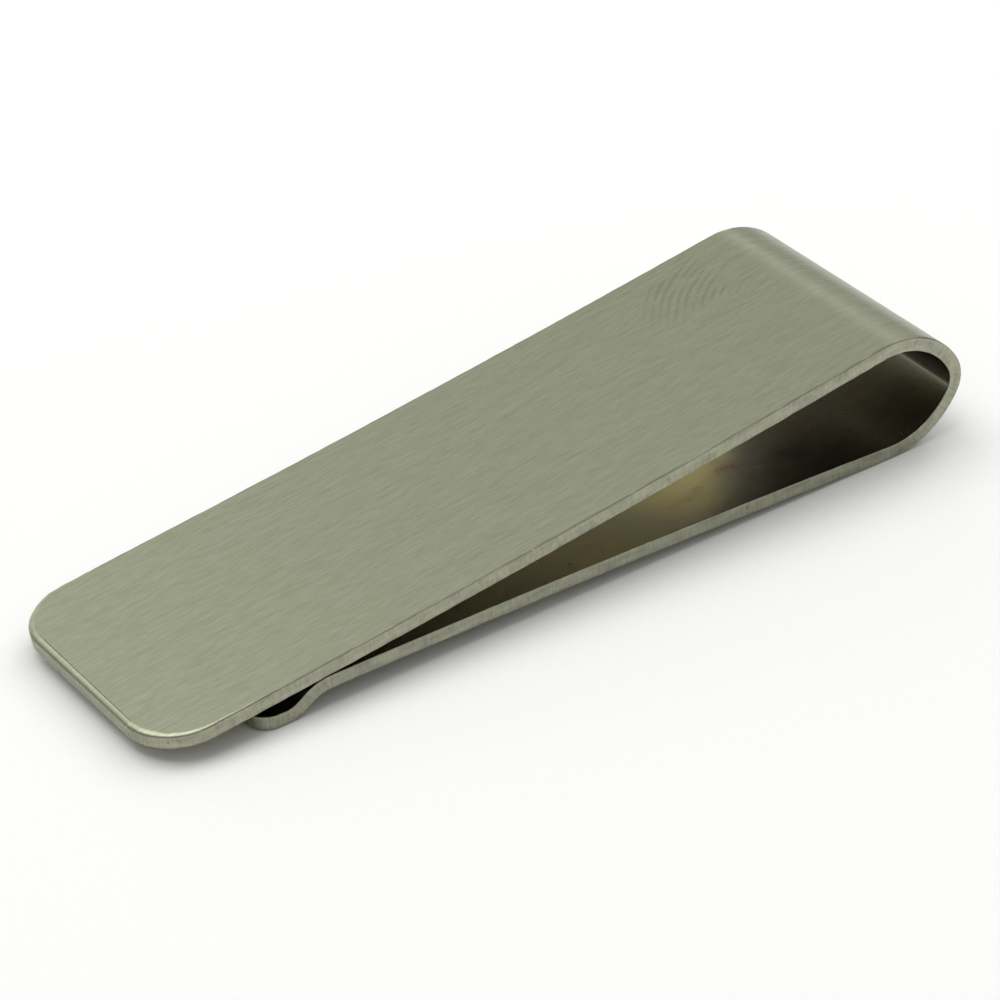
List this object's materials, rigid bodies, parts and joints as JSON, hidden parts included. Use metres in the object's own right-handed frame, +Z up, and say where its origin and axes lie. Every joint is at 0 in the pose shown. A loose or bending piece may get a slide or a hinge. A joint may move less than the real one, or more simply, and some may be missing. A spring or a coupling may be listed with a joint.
{
  "type": "money clip",
  "caption": "Money clip bent from one brushed steel strip: a long front leaf, a sprung bow, and a shorter back leaf whose crest grips folded notes and whose turned lip lets them in.",
  "frame": {"origin": "under the middle of the clip's length and width, on the surface that its heel and toe rest on", "axes": "+X along the clip from its free end to its bow, +Y across the strip, +Z up from the back leaf to the front leaf"},
  "size_m": [0.051, 0.0154, 0.0073],
  "materials": {
    "brushed_steel": "satin-brushed along the length outside, mill finish inside, sheared edges"
  },
  "bodies": {
    "back_half": {"back_leaf": "brushed_steel", "grip_crest": "brushed_steel", "entry_lip": "brushed_steel", "bow_heel": "brushed_steel"},
    "front_half": {"front_leaf": "brushed_steel", "bow_shoulder": "brushed_steel", "bow_nose": "brushed_steel"}
  },
  "joints": [
    {"name": "bow_flex", "type": "hinge", "parent": "back_half", "child": "front_half", "pos_m": [0.02482, 0, 0.00265], "axis": [0, 1, 0], "range_deg": [0, 12], "stiffness_Nm_per_rad": 4}
  ]
}
